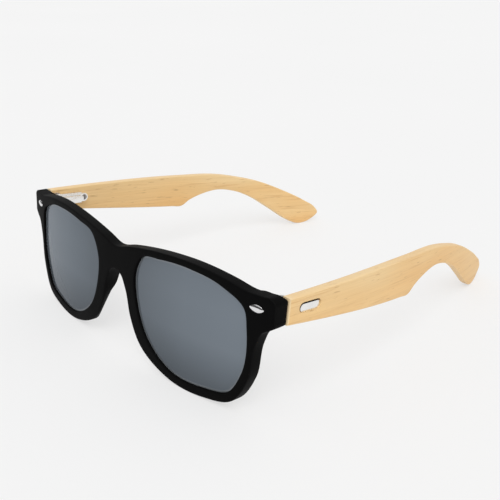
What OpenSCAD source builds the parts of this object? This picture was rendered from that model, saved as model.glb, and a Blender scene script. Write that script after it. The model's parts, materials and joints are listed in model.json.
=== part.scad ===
// Sunglasses with a moulded front, two lenses, bent bamboo temples and sprung hinges.
// The front faces -Y, the temples run to +Y, and the rims and the temple tips stand on z = 0.

/* [Front] */
// Thickness of the front
front_t = 4; // [3.7:0.1:4.6]
// Radius of the front's wrap, seen from above
wrap_r = 330; // [280:5:500]
// Lean of the front's top towards the face, in degrees
front_lean = 3.3; // [1:0.1:5]
// Distance between the two lens openings
bridge_w = 23; // [20:0.5:26]
// How far the top of the bridge lies below the brow
bridge_drop = 5.2; // [3:0.2:8]
// Height of the nose notch above the bottom of the rims
notch_h = 31; // [28:0.5:33]
// Rim height above a lens opening
rim_top = 2.3; // [1.6:0.1:4]
// Rim width on the temple side of a lens opening
rim_side = 3; // [2.2:0.1:3.4]
// Rim height below a lens opening
rim_bottom = 3.3; // [2.4:0.1:4.5]
// Rim width on the nose side of a lens opening
rim_nose = 5.4; // [4.2:0.1:6.2]
// Width of an endpiece outside the lens opening
endpiece_w = 9.9; // [9.2:0.1:12]
// Height of an endpiece
endpiece_h = 9.7; // [8.6:0.1:11]
// Radius of an endpiece's corners
corner_r = 1.4; // [1:0.1:2]
// Height of the curve under an endpiece
root_h = 6; // [4:0.5:8]
// Distance of an endpiece's thick part, which holds the hinge, from the lens opening
endpiece_in = 1.5; // [1.2:0.1:2]
// Depth of an endpiece's middle below the brow
endpiece_drop = 7.9; // [6.8:0.1:9]
// How far the thick part lies below the top of its endpiece
endpiece_step = 0.8; // [0.4:0.1:1.2]
// How far an endpiece's back stands behind the front's back at its outer end
endpiece_t = 0.9; // [0.4:0.1:2]
// Depth of the flat that each rim stands on
rest_flat = 0.2; // [0.1:0.05:0.3]

/* [Nose pads] */
// Radius of a nose pad's rounded back, seen from the side
pad_r = 6.5; // [5.5:0.5:8]
// Thickness of a nose pad
pad_t = 3; // [2.4:0.1:3.6]
// How far a nose pad stands out behind the front
pad_depth = 2.4; // [2:0.2:4]
// Height of a nose pad's middle above the bottom of the rims
pad_z = 25; // [22:0.5:26]
// Angle at which the nose pads open towards the face
pad_splay = 22; // [12:1:30]
// Angle at which the nose pads open downwards
pad_flare = 16; // [8:1:22]
// Distance of a nose pad's middle from the edge of the nose notch
pad_in = 3.4; // [2.8:0.1:4]

// Angle of the bevel on a rim's nose side, below its pad
bevel_splay = 38; // [20:1:50]
// Angle at which that bevel leans away from the nose
bevel_flare = 28; // [22:1:34]
// Thickness of the front's edge before that bevel
bevel_skin = 0.7; // [0.4:0.1:1.4]

/* [Lenses] */
// Width of a lens opening
lens_w = 50.6; // [48:0.2:52]
// Height of a lens opening
lens_h = 39.4; // [37:0.2:42]
// Thickness of a lens
lens_t = 1.5; // [1.2:0.1:1.7]
// Depth of a lens's face below the front's face
lens_recess = 1; // [0.5:0.1:1.6]
// Depth of the groove that holds a lens
groove_d = 0.8; // [0.5:0.1:1.1]
// Gap between a lens and its groove
lens_gap = 0.03; // [0.02:0.01:0.1]

/* [Rivets] */
// Length of a rivet's almond-shaped head
rivet_l = 5.3; // [5:0.1:6.4]
// Height of a rivet's head
rivet_h = 2.5; // [2.4:0.1:3.4]
// How far a rivet's head stands proud
rivet_proud = 0.45; // [0.3:0.05:0.6]
// How deep a rivet's head is sunk
rivet_sink = 0.5; // [0.3:0.05:0.6]
// Distance of a rivet's middle from the lens opening
rivet_out = 3.4; // [3.2:0.1:4.4]
// Height of a rivet's middle above the endpiece's middle
rivet_up = 0.7; // [0:0.1:1.2]
// Radius of a rivet's stub pins
rivet_pin_r = 0.45; // [0.35:0.05:0.55]
// Length of a rivet's stub pins
rivet_pin_l = 2; // [1.4:0.1:2.2]
// Distance between a rivet's stub pins
rivet_pin_gap = 2.8; // [2.4:0.1:3.2]

/* [Temples] */
// Thickness of a temple
temple_t = 3.4; // [3.1:0.1:4.4]
// How far a temple's outer face stands out beyond the endpiece
temple_proud = 0.5; // [0:0.1:0.8]
// Radius that a temple is bent to, seen from above
bend_r = 500; // [440:10:700]
// Length of a temple from the hinge to the end of its tip
temple_len = 144.5; // [139:0.5:148]
// Height of a temple at its front end
temple_front_h = 8.6; // [7.6:0.1:9.6]
// Height of a temple at its step
board_h = 14.7; // [12:0.1:16]
// Height of a temple's top edge above the hinge's middle, at its step
board_top = 5.5; // [4.6:0.1:6.4]
// Distance of the step from the hinge
step_y = 65; // [60:0.5:67]
// Height of the ear part
ear_h = 7.4; // [6.6:0.1:8.4]
// Height of the ear part's top edge above the hinge's middle
ear_top = 5; // [4:0.1:6]
// Distance of the ear part from the hinge
ear_y = 85; // [81:0.5:89]
// Depth of a tip's lowest point below the hinge's middle, along the hinge's axis
tip_drop = 23; // [20:0.5:25]

/* [Hinges] */
// Outer radius of the knuckles
knuckle_r = 1.6; // [1.5:0.05:1.8]
// Height of the slider's eye, the middle knuckle
eye_h = 2; // [1.6:0.1:2.4]
// Height of each knuckle of the front leaf
leaf_knuckle_h = 2; // [1.8:0.1:2.3]
// Gap between knuckles
knuckle_gap = 0.1; // [0.06:0.01:0.15]
// Radius of the pivot screw's shaft
pivot_r = 0.7; // [0.55:0.05:0.8]
// Running gap around the pivot screw
pivot_gap = 0.04; // [0.02:0.01:0.06]
// Radius of the screw heads
screw_head_r = 1.15; // [1:0.05:1.2]
// Height of the pivot screw's head
pivot_head_h = 0.75; // [0.5:0.05:0.9]
// Width of the slots in the screw heads
screw_slot_w = 0.3; // [0.2:0.05:0.4]
// Thickness of the front leaf's plate
leaf_t = 1; // [0.8:0.1:1.2]
// Width of the front leaf's plate
leaf_w = 5; // [4.4:0.1:5.4]
// Width of the webs between the plate and its knuckles
web_w = 2.5; // [2:0.1:2.6]
// Distance from the pivot to the endpiece's back
seat_y = 1.9; // [1.85:0.05:2.2]
// Gap between a temple's end and its endpiece
joint_gap = 0.2; // [0.15:0.05:0.3]
// Clearance of hinge pieces that are seated in one another
seat_gap = 0.03; // [0.02:0.01:0.06]
// Clearance of hinge pieces that slide
slide_gap = 0.05; // [0.03:0.01:0.08]

/* [Spring housings] */
// Where a housing starts behind the pivot
housing_y = 2; // [1.95:0.05:2.2]
// Length of the box that shows on a temple's outer face
box_l = 8.7; // [8.2:0.1:9.4]
// Height of the box
box_h = 2.7; // [2.6:0.1:3.3]
// Room that a temple's slot leaves above the box
slot_above = 0.7; // [0.3:0.1:0.7]
// Room that a temple's slot leaves before the box
slot_before = 0.9; // [0.4:0.1:1.4]
// Depth of the box below a temple's outer face
box_recess = 0.5; // [0.05:0.05:0.6]
// Wall between the box's end and the housing's front
box_y = 1.6; // [1.2:0.1:1.8]
// How far the housing stands out on the inner side of the pivot
housing_in = 1.2; // [1.15:0.05:1.3]
// Radius of the crimp's pit in the housing's inner face
crimp_r = 0.4; // [0.3:0.05:0.5]
// Depth of the crimp's pit
crimp_d = 0.25; // [0.15:0.05:0.3]
// Height of the flange on a temple's inner face
flange_h = 4.6; // [4.2:0.1:5.2]
// Thickness of the flange
flange_t = 1; // [0.8:0.1:1.2]
// Distance of the flange's screw from the end of the box
flange_screw_y = 1.3; // [1.2:0.1:1.8]
// Radius of the flange's round end about its screw
flange_end_r = 1.8; // [1.6:0.1:2]
// Radius of the flange screw's shaft
flange_screw_r = 0.6; // [0.5:0.05:0.7]
// Length of the flange screw
flange_screw_l = 3; // [2.4:0.1:3.2]
// Height of the flange screw's head
flange_head_h = 0.5; // [0.4:0.05:0.6]

/* [Sliders] */
// Offset of the slider's rod from the pivot, towards the outer face
rod_x = 0.5; // [0.4:0.05:0.55]
// Radius of the slider's rod
rod_r = 0.5; // [0.4:0.05:0.52]
// Width of the slider's tongue
tongue_w = 1.5; // [1.3:0.1:1.6]
// Height of the slider's tongue
tongue_h = 1.9; // [1.5:0.1:2]
// Length of the tongue's channel in the housing
channel_l = 2.4; // [2:0.1:2.6]
// Wall between the channel and the spring's bore
shoulder_t = 0.8; // [0.6:0.1:0.9]
// Radius of the spring's bore
bore_r = 1.15; // [1.1:0.05:1.2]
// Radius of the stop on the rod's end
stop_r = 1.05; // [0.95:0.05:1.08]
// Length of the stop
stop_l = 0.8; // [0.6:0.1:0.9]
// Room behind the stop in the spring's bore
end_room = 0.3; // [0.1:0.1:0.4]
// Length of the spring at rest
spring_l = 4.4; // [4.2:0.1:4.6]
// Number of curls in the spring
spring_turns = 5; // [4:1:5]
// Radius of the spring's wire
wire_r = 0.17; // [0.12:0.01:0.18]
// Radius of the spring's curls at the middle of the wire
coil_r = 0.79; // [0.76:0.01:0.84]

/* [Hidden] */

// Sides: the wearer's left is +X
left = 1;
right = -1;
far = 200;
smooth = 360;
round_fn = 48;
// How far cuts and joins run past the faces that they meet
over = 0.5;

// A smooth curve through hand-chosen points
function heading(a, b, c) =
    let (d = norm(b - a), e = norm(c - b))
    ((b - a) * e / d + (c - b) * d / e) / (d + e);
function blend(a, b, c, d, t) =
    let (l = norm(c - b), m = l * heading(a, b, c), n = l * heading(b, c, d))
    b * (2 * t^3 - 3 * t^2 + 1) + m * (t^3 - 2 * t^2 + t)
        + c * (3 * t^2 - 2 * t^3) + n * (t^3 - t^2);
function closed_curve(p, steps) =
    let (n = len(p))
    [for (i = [0 : n - 1], k = [0 : steps - 1])
        blend(p[(i + n - 1) % n], p[i], p[(i + 1) % n], p[(i + 2) % n], k / steps)];
function open_curve(p, steps) =
    let (n = len(p), q = concat([2 * p[0] - p[1]], p, [2 * p[n - 1] - p[n - 2]]))
    concat([for (i = [1 : n - 1], k = [0 : steps - 1])
        blend(q[i - 1], q[i], q[i + 1], q[i + 2], k / steps)], [p[n - 1]]);
// The way out of a clockwise outline at one of its points
function way_out(p, i) =
    let (n = len(p), t = p[(i + 1) % n] - p[(i + n - 1) % n])
    [-t[1], t[0]] / norm(t);
function grown(p, d) = [for (i = [0 : len(p) - 1]) p[i] + d * way_out(p, i)];

// Lens opening: its shape on half the width and half the height, clockwise from the nose
lens_shape = [
    [-1, 0.5], [-0.845, 0.855], [-0.46, 0.96], [0.09, 1], [0.62, 0.9], [0.955, 0.66], [1, 0.35],
    [0.945, -0.46], [0.74, -0.88], [0.37, -1], [-0.3, -0.985], [-0.77, -0.57], [-0.965, -0.03],
];
lens_u = (bridge_w + lens_w) / 2;
lens_v = rim_bottom + lens_h / 2;
lens_points = [for (s = lens_shape) [lens_u + s[0] * lens_w / 2, lens_v + s[1] * lens_h / 2]];
opening = closed_curve(lens_points, 5);

// Outline of the front, seen from the front
brow = rim_bottom + lens_h + rim_top;
endpiece_v = brow - endpiece_drop;
endpiece_top = endpiece_v + endpiece_h / 2;
endpiece_low = endpiece_v - endpiece_h / 2;
temporal_u = lens_u + lens_w / 2;
end_u = temporal_u + endpiece_w;
root_u = temporal_u + rim_side;
nose_u = bridge_w / 2 - rim_nose;
brow_fall = brow - endpiece_top;
function rim_point(i, w) = lens_points[i] + w * way_out(lens_points, i);
half_points = [
    [0, brow - bridge_drop],
    [bridge_w * 0.36, brow - bridge_drop * 0.63],
    [lens_u - lens_w * 0.4, brow - bridge_drop * 0.33],
    [lens_u - lens_w * 0.19, brow - bridge_drop * 0.08],
    [lens_u + lens_w * 0.11, brow],
    [lens_u + lens_w * 0.36, brow - brow_fall * 0.45],
    [temporal_u, endpiece_top + brow_fall * 0.1],
    [end_u - corner_r * 3.6, endpiece_top + brow_fall * 0.07],
    [end_u - corner_r, endpiece_top],
    [end_u, endpiece_top - corner_r],
    [end_u, endpiece_top - corner_r * 2],
    [end_u, endpiece_low + corner_r * 2],
    [end_u, endpiece_low + corner_r],
    [end_u - corner_r, endpiece_low],
    [root_u + root_h * 0.43, endpiece_low - root_h * 0.32],
    [root_u + root_h * 0.13, endpiece_low - root_h],
    rim_point(7, rim_side),
    rim_point(8, (rim_side + rim_bottom) / 2),
    rim_point(9, rim_bottom),
    rim_point(10, rim_bottom),
    rim_point(11, rim_nose),
    [nose_u + rim_nose * 0.5, notch_h * 0.516],
    [nose_u - rim_nose * 0.04, notch_h * 0.826],
    [nose_u / 2, notch_h * 0.968],
    [0, notch_h],
];
last = len(half_points) - 1;
bevel_up = notch_h * 0.2;
front_points = concat(half_points, [for (i = [last - 1 : -1 : 1]) [-half_points[i][0], half_points[i][1]]]);
outline = closed_curve(front_points, 4);

// Depth of the front's faces on its wrap, and the height that stands its rims on z = 0
function wrap_y(u, depth) = wrap_r - sqrt((wrap_r - depth)^2 - u^2);
function leaned_y(y, v) = y * cos(front_lean) + v * sin(front_lean);
rim_low = max([for (p = outline) wrap_y(p[0], front_t) * sin(front_lean) - p[1] * cos(front_lean)]);
front_lift = rim_low - rest_flat;

// Outline of a temple from the side, with the pivot at [0, 0]
temple_end = joint_gap - seat_y;
board_low = board_top - board_h;
ear_low = ear_top - ear_h;
arch = ear_y - step_y;
rise = ear_low - board_low;
tail = temple_len - ear_y;
drop = ear_top + tip_drop;
tail_top = [[0.21, 0.07], [0.38, 0.15], [0.63, 0.34], [0.86, 0.56], [0.965, 0.69], [1, 0.79]];
tail_low = [
    [0.94, 0.925], [0.81, 1], [0.695, 0.905], [0.605, 0.79], [0.51, 0.665], [0.31, 0.425], [0.147, 0.305],
];
temple_points = concat(
    [
        [temple_end, temple_front_h / 2],
        [step_y * 0.32, temple_front_h / 4 + board_top / 2],
        [step_y * 0.97, board_top],
        [ear_y, ear_top],
    ],
    [for (s = concat(tail_top, tail_low)) [ear_y + s[0] * tail, ear_top - s[1] * drop]],
    [
        [ear_y, ear_low],
        [step_y + arch * 0.56, ear_low - rise * 0.23],
        [step_y + arch * 0.22, ear_low - rise * 0.61],
        [step_y, board_low],
        [step_y * 0.92, board_low + rise * 0.03],
        [temple_end, -temple_front_h / 2],
    ]
);
temple_outline = open_curve(temple_points, 5);

// Places of the pivots, and the slope at which the temple tips reach z = 0
outer_x = temple_t + knuckle_r + knuckle_gap;
pivot_x = end_u + temple_proud - outer_x;
endpiece_back = leaned_y(wrap_y(end_u, front_t), endpiece_v) + endpiece_t;
pivot_y = endpiece_back + seat_y;
pivot_z = front_lift + endpiece_v * cos(front_lean) - endpiece_back * sin(front_lean);
temple_slope = min([for (p = temple_outline) if (p[0] > ear_y)
    asin(pivot_z / norm(p)) + atan2(p[1], p[0])]);

// The middle of the whole part, front to back
front_face = min([for (p = outline) leaned_y(wrap_y(p[0], 0), p[1])]);
temple_back = max([for (p = temple_outline) p[0] * cos(temple_slope) + p[1] * sin(temple_slope)]);
middle_y = (front_face + pivot_y + temple_back) / 2;

// Heights in the hinge, from the middle of the eye
leaf_low = eye_h / 2 + knuckle_gap;
leaf_high = leaf_low + leaf_knuckle_h;
head_low = leaf_high - pivot_head_h;

// Depths in the spring housing, from the pivot
box_start = housing_y + box_y;
box_end = box_start + box_l;
slot_start = box_start - slot_before;
slot_rise = slot_above + seat_gap;
shoulder_y = housing_y + channel_l;
spring_y = shoulder_y + shoulder_t;
stop_y = spring_y + spring_l;
rod_end = stop_y + stop_l;
bore_end = rod_end + end_room;
screw_y = box_end + flange_screw_y;
wood_x = knuckle_r + knuckle_gap;

// Frames: the whole part, the leaning front and each hinge
module centred() {
    translate([0, -middle_y, 0]) children();
}
module on_side(side) {
    mirror([side == right ? 1 : 0, 0, 0]) children();
}
module front_place() {
    centred() translate([0, 0, front_lift]) rotate([-front_lean, 0, 0]) children();
}
module hinge_place(side) {
    centred() on_side(side) translate([pivot_x, pivot_y, pivot_z]) rotate([-temple_slope, 0, 0]) children();
}

// Shapes that the front shares: a plate seen from the front, and a curved slab between two depths
module face_plate(points) {
    translate([0, far / 2, 0]) rotate([90, 0, 0]) linear_extrude(far) polygon(points);
}
module behind(depth) {
    translate([0, wrap_r, -far / 2]) cylinder(r = wrap_r - depth, h = far, $fn = smooth);
}
module slab(depth, t) {
    difference() {
        behind(depth);
        behind(depth + t);
    }
}
module slab_plate(points, depth, t) {
    intersection() {
        face_plate(points);
        slab(depth, t);
    }
}

// Shapes that the hinge shares
module along_x(x, x_end, r) {
    translate([x, 0, 0]) rotate([0, 90, 0]) cylinder(r = r, h = x_end - x, $fn = round_fn);
}
module along_y(y, y_end, r) {
    translate([rod_x, y, 0]) rotate([-90, 0, 0]) cylinder(r = r, h = y_end - y, $fn = round_fn);
}
module along_z(z, z_end, r) {
    translate([0, 0, z]) cylinder(r = r, h = z_end - z, $fn = round_fn);
}
module block(low, high) {
    translate(low) cube(high - low);
}

// A pill with round ends, seen along X
module pill(x, x_end, start, end, r) {
    translate([0, start + r, 0]) along_x(x, x_end, r);
    translate([0, end - r, 0]) along_x(x, x_end, r);
    block([x, start + r, -r], [x_end, end - r, r]);
}

// The box of the spring housing where it goes through a temple
module box_pill(x, x_end, gap) {
    pill(x, x_end, box_start - gap, box_end + gap, box_h / 2 + gap);
}

// The flange on a temple's inner face, with a round rear end
module flange_shape(x, x_end, gap) {
    r = flange_end_r + gap;
    w = flange_h / 2 + gap;
    translate([0, screw_y, 0]) along_x(x, x_end, r);
    block([x, housing_y, -r], [x_end, screw_y, r]);
    block([x, housing_y - gap, -w], [x_end, box_end + gap, w]);
}

// The almond of a rivet's head, along its own outward direction -Y
bow_r = (rivet_l^2 + rivet_h^2) / (4 * rivet_h);
module almond_bow(gap, y, y_end, z) {
    translate([0, y, z]) rotate([-90, 0, 0]) cylinder(r = bow_r + gap, h = y_end - y, $fn = smooth);
}
module almond(gap, y, y_end) {
    intersection() {
        almond_bow(gap, y, y_end, bow_r - rivet_h / 2);
        almond_bow(gap, y, y_end, rivet_h / 2 - bow_r);
    }
}
module rivet_place(side) {
    turn = asin((temporal_u + rivet_out) / wrap_r);
    front_place() on_side(side) translate([0, wrap_r, endpiece_v + rivet_up])
        rotate([0, 0, turn]) translate([0, -wrap_r, 0]) children();
}
module rivet_pins(gap) {
    for (s = [-1, 1])
        translate([s * rivet_pin_gap / 2, 0, 0]) rotate([-90, 0, 0])
            cylinder(r = rivet_pin_r + gap, h = rivet_sink + rivet_pin_l + gap, $fn = round_fn);
}

// The thick part of an endpiece, up to the flat back that carries the hinge
module endpiece(side) {
    intersection() {
        front_place() behind(front_t / 2);
        hinge_place(side) block([temporal_u + endpiece_in - pivot_x, -far / 2, -endpiece_h / 2],
            [far / 2, -seat_y, endpiece_h / 2 - endpiece_step]);
    }
}

// The bevel that opens a rim's nose side towards the face
module nose_bevel(side) {
    edge = half_points[21];
    on_side(side) translate([edge[0], wrap_y(edge[0], 0) + bevel_skin, edge[1]])
        rotate([0, -bevel_flare, -bevel_splay]) block([-far, 0, -far], [0, far, bevel_up]);
}

// A nose pad: part of a thick disc that stands out behind the rim's nose side
module nose_pad(side) {
    pad_u = nose_u + pad_in;
    on_side(side) intersection() {
        behind(front_t / 2);
        translate([pad_u, wrap_y(pad_u, front_t) + pad_depth - pad_r, pad_z])
            rotate([0, -pad_flare, -pad_splay]) translate([-pad_t / 2, 0, 0]) along_x(0, pad_t, pad_r);
    }
}

// The pocket for a front leaf's plate, and the plate itself
module leaf_plate(gap) {
    w = leaf_w / 2 + gap;
    block([-w, -seat_y - leaf_t - gap, -leaf_high - gap], [w, -seat_y, leaf_high + gap]);
}

module front_frame() {
    color([0.08, 0.08, 0.08]) difference() {
        union() {
            difference() {
                intersection() {
                    front_place() face_plate(outline);
                    union() {
                        front_place() slab(0, front_t);
                        endpiece(left);
                        endpiece(right);
                    }
                }
                front_place() {
                    nose_bevel(left);
                    nose_bevel(right);
                }
            }
            front_place() {
                nose_pad(left);
                nose_pad(right);
            }
        }
        for (side = [left, right]) {
            front_place() on_side(side) {
                face_plate(opening);
                slab_plate(grown(opening, groove_d), lens_recess - lens_gap, lens_t + 2 * lens_gap);
            }
            rivet_place(side) {
                almond(seat_gap, -over, rivet_sink + seat_gap);
                rivet_pins(seat_gap);
            }
            hinge_place(side) leaf_plate(seat_gap);
        }
        translate([-far, -far, -far]) cube([2 * far, 2 * far, far]);
    }
}

module lens(side) {
    color([0.45, 0.48, 0.52]) front_place() on_side(side)
        slab_plate(grown(opening, groove_d - lens_gap), lens_recess, lens_t);
}
module lens_left() {
    lens(left);
}
module lens_right() {
    lens(right);
}

module rivet(side) {
    dome = (rivet_l^2 / 4 + rivet_proud^2) / (2 * rivet_proud) * 1.2;
    color([0.85, 0.85, 0.86]) rivet_place(side) {
        intersection() {
            almond(0, -rivet_proud - over, rivet_sink);
            translate([0, dome - rivet_proud, 0]) sphere(r = dome, $fn = smooth);
        }
        rivet_pins(0);
    }
}
module rivet_left() {
    rivet(left);
}
module rivet_right() {
    rivet(right);
}

// A front leaf: a sunk plate with two knuckles on webs
module front_hinge(side) {
    color([0.72, 0.72, 0.73]) hinge_place(side) difference() {
        union() {
            leaf_plate(0);
            for (z = [leaf_low, -leaf_high]) {
                along_z(z, z + leaf_knuckle_h, knuckle_r);
                block([-knuckle_r, -seat_y - leaf_t / 2, z], [web_w - knuckle_r, 0, z + leaf_knuckle_h]);
            }
        }
        along_z(-leaf_high - over, leaf_high + over, pivot_r + pivot_gap);
        along_z(head_low, leaf_high + over, screw_head_r + pivot_gap);
    }
}
module front_hinge_left() {
    front_hinge(left);
}
module front_hinge_right() {
    front_hinge(right);
}

// A pivot screw: shaft and slotted head, sunk in the upper knuckle
module pivot_screw(side) {
    color([0.6, 0.6, 0.61]) hinge_place(side) difference() {
        union() {
            along_z(-leaf_high + seat_gap, leaf_high - seat_gap, pivot_r);
            along_z(head_low + seat_gap, leaf_high - seat_gap, screw_head_r);
        }
        translate([0, 0, leaf_high]) cube([3 * screw_head_r, screw_slot_w, pivot_head_h], center = true);
    }
}
module pivot_screw_left() {
    pivot_screw(left);
}
module pivot_screw_right() {
    pivot_screw(right);
}

// A slider: the eye on the pivot screw, the tongue and the spring's rod
module hinge_slider(side) {
    color([0.7, 0.7, 0.71]) hinge_place(side) difference() {
        union() {
            along_z(-eye_h / 2, eye_h / 2, knuckle_r);
            block([rod_x - tongue_w / 2, 0, -tongue_h / 2],
                [rod_x + tongue_w / 2, shoulder_y - slide_gap, tongue_h / 2]);
            along_y(shoulder_y - slide_gap - over, rod_end, rod_r);
        }
        along_z(-eye_h, eye_h, pivot_r + pivot_gap);
    }
}
module hinge_slider_left() {
    hinge_slider(left);
}
module hinge_slider_right() {
    hinge_slider(right);
}

// A stop: a collar pressed on the rod's end
module slider_stop(side) {
    color([0.55, 0.55, 0.56]) hinge_place(side) difference() {
        along_y(stop_y, rod_end, stop_r);
        along_y(stop_y - over, rod_end + over, rod_r + seat_gap / 2);
    }
}
module slider_stop_left() {
    slider_stop(left);
}
module slider_stop_right() {
    slider_stop(right);
}

// A spring: one wire in a helix round the rod, from the shoulder to the stop
rings = 8;
sides = 6;
end_gap = 0.02;
spring_rings = spring_turns * rings;
spring_run = spring_l - 2 * wire_r - 2 * end_gap;
function coil_centre(i) =
    let (a = 360 * i / rings)
    [rod_x + coil_r * cos(a), spring_y + end_gap + wire_r + spring_run * i / spring_rings, coil_r * sin(a)];
function coil_point(i, k) =
    let (a = 360 * i / rings, b = 360 * k / sides, out = [cos(a), 0, sin(a)])
    coil_centre(i) + wire_r * (cos(b) * out + sin(b) * [0, 1, 0]);
coil_points = [for (i = [0 : spring_rings], k = [0 : sides - 1]) coil_point(i, k)];
function quad(i, k) =
    let (a = i * sides + k, b = i * sides + (k + 1) % sides)
    [[a, b, b + sides], [a, b + sides, a + sides]];
coil_faces = concat(
    [for (i = [0 : spring_rings - 1], k = [0 : sides - 1]) each quad(i, k)],
    [for (k = [1 : sides - 2]) [0, k + 1, k]],
    [for (k = [1 : sides - 2]) [0, k, k + 1] + spring_rings * sides * [1, 1, 1]]
);
coil_gap = min([for (i = [0 : spring_rings], j = [i : spring_rings]) if (j - i > rings / 2)
    norm(coil_centre(i) - coil_centre(j)) - 2 * wire_r]);
module hinge_spring(side) {
    echo(least_gap_between_curls = coil_gap);
    color([0.5, 0.5, 0.52]) hinge_place(side) polyhedron(coil_points, coil_faces);
}
module hinge_spring_left() {
    hinge_spring(left);
}
module hinge_spring_right() {
    hinge_spring(right);
}

// A housing: the box in the temple's slot, the spring's chamber and the flange on the inner face.
// A round pit in the inner face marks where the shoulder is crimped.
module hinge_housing(side) {
    color([0.78, 0.78, 0.79]) hinge_place(side) difference() {
        union() {
            box_pill(-housing_in, outer_x - box_recess, 0);
            block([-housing_in, housing_y, -box_h / 2], [wood_x, box_start + box_h / 2, box_h / 2]);
            flange_shape(wood_x - flange_t, wood_x, 0);
        }
        block([rod_x - tongue_w / 2 - slide_gap, 0, -tongue_h / 2 - slide_gap],
            [rod_x + tongue_w / 2 + slide_gap, shoulder_y, tongue_h / 2 + slide_gap]);
        along_y(shoulder_y - over, spring_y + over, rod_r + slide_gap);
        along_y(spring_y, bore_end, bore_r);
        translate([0, (shoulder_y + spring_y) / 2, 0]) along_x(-far, crimp_d - housing_in, crimp_r);
        translate([0, screw_y, 0]) {
            along_x(-far, far, flange_screw_r + slide_gap);
            along_x(-far, wood_x - flange_t + flange_head_h, screw_head_r + slide_gap);
        }
    }
}
module hinge_housing_left() {
    hinge_housing(left);
}
module hinge_housing_right() {
    hinge_housing(right);
}

// A flange screw: slotted head in the flange, shaft in the wood
module housing_screw(side) {
    head_x = wood_x - flange_t;
    color([0.62, 0.62, 0.63]) hinge_place(side) translate([0, screw_y, 0]) difference() {
        union() {
            along_x(head_x, head_x + flange_head_h, screw_head_r);
            along_x(head_x, head_x + flange_screw_l, flange_screw_r);
        }
        translate([head_x, 0, 0]) cube([flange_head_h, screw_slot_w, 3 * screw_head_r], center = true);
    }
}
module housing_screw_left() {
    housing_screw(left);
}
module housing_screw_right() {
    housing_screw(right);
}

// A temple: a bamboo board, cut to its outline and bent, with the housing's slot and seat
module temple(side) {
    color([0.90, 0.75, 0.52]) hinge_place(side) difference() {
        intersection() {
            rotate([90, 0, 90]) linear_extrude(far, center = true) polygon(temple_outline);
            translate([outer_x - bend_r, 0, -far / 2]) difference() {
                cylinder(r = bend_r, h = far, $fn = 2 * smooth);
                cylinder(r = bend_r - temple_t, h = far, $fn = 2 * smooth);
            }
        }
        box_pill(-far, far, seat_gap);
        translate([0, 0, slot_rise / 2]) pill(-far, far, slot_start, box_end, (box_h + slot_rise) / 2);
        flange_shape(-far, wood_x, seat_gap);
        translate([0, screw_y, 0]) along_x(-far, wood_x - flange_t + flange_screw_l + slide_gap,
            flange_screw_r + seat_gap);
    }
}
module temple_left() {
    temple(left);
}
module temple_right() {
    temple(right);
}

front_frame();
lens_left();
lens_right();
rivet_left();
rivet_right();
front_hinge_left();
front_hinge_right();
pivot_screw_left();
pivot_screw_right();
hinge_slider_left();
hinge_slider_right();
slider_stop_left();
slider_stop_right();
hinge_spring_left();
hinge_spring_right();
hinge_housing_left();
hinge_housing_right();
housing_screw_left();
housing_screw_right();
temple_left();
temple_right();
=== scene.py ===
# %% [markdown]
# # Sunglasses with bamboo temples
# A moulded black front holds two smoke grey lenses, and two bent bamboo boards fold on sprung hinges.
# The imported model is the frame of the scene: it gives the bodies, the joints and each node's box.
# Every new piece is built in millimetres, placed in that frame and made to ride on one of its bodies.

# %% Load the frame
import json
import math

import bmesh
import bpy
import numpy as np
from mathutils import Matrix, Vector
from mathutils.geometry import convex_hull_2d, delaunay_2d_cdt

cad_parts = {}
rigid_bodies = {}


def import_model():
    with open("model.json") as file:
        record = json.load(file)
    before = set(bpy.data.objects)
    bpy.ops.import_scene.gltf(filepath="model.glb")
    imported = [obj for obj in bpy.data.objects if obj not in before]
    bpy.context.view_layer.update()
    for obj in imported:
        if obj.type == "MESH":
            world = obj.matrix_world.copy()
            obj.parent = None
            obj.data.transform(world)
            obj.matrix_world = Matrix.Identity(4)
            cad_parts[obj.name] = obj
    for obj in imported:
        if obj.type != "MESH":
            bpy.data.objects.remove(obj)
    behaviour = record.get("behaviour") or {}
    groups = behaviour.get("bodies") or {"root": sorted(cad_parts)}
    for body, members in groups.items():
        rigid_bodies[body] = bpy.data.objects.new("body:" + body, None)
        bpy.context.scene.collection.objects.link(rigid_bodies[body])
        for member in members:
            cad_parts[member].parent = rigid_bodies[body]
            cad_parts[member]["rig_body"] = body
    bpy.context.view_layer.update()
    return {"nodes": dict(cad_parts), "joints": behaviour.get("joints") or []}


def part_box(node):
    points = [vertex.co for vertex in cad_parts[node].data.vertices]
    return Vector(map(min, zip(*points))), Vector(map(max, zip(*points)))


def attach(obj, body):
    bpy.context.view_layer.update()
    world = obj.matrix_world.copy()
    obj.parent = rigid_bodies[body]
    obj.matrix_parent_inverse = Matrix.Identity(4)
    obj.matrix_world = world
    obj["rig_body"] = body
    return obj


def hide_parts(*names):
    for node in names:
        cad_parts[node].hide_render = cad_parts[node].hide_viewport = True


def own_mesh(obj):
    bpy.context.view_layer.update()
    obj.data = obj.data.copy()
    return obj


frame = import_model()
MM = 0.001
joints = {joint["name"]: joint for joint in frame["joints"]}

# %% [markdown]
# ## Sizes of the front
# The front is a plate seen from the front and wrapped round a large upright cylinder.
# Its outline follows the lens openings at chosen rim widths, so a few sizes give the whole shape.
# They are the solid model's sizes, in millimetres, so that the dressed front sits where the solid one is.

# %% Front sizes
FRONT_T = 4
WRAP_R = 330
FRONT_LEAN = math.radians(3.3)
BRIDGE_W = 23
BRIDGE_DROP = 5.2
NOTCH_H = 31
RIM_TOP, RIM_SIDE, RIM_BOTTOM, RIM_NOSE = 2.3, 3, 3.3, 5.4
ENDPIECE_W, ENDPIECE_H, ENDPIECE_DROP = 9.9, 9.7, 7.9
CORNER_R, ROOT_H = 1.4, 6
LENS_W, LENS_H = 50.6, 39.4
LENS_T, LENS_RECESS = 1.5, 1.0
GROOVE_D, LENS_GAP = 0.8, 0.03

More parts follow.
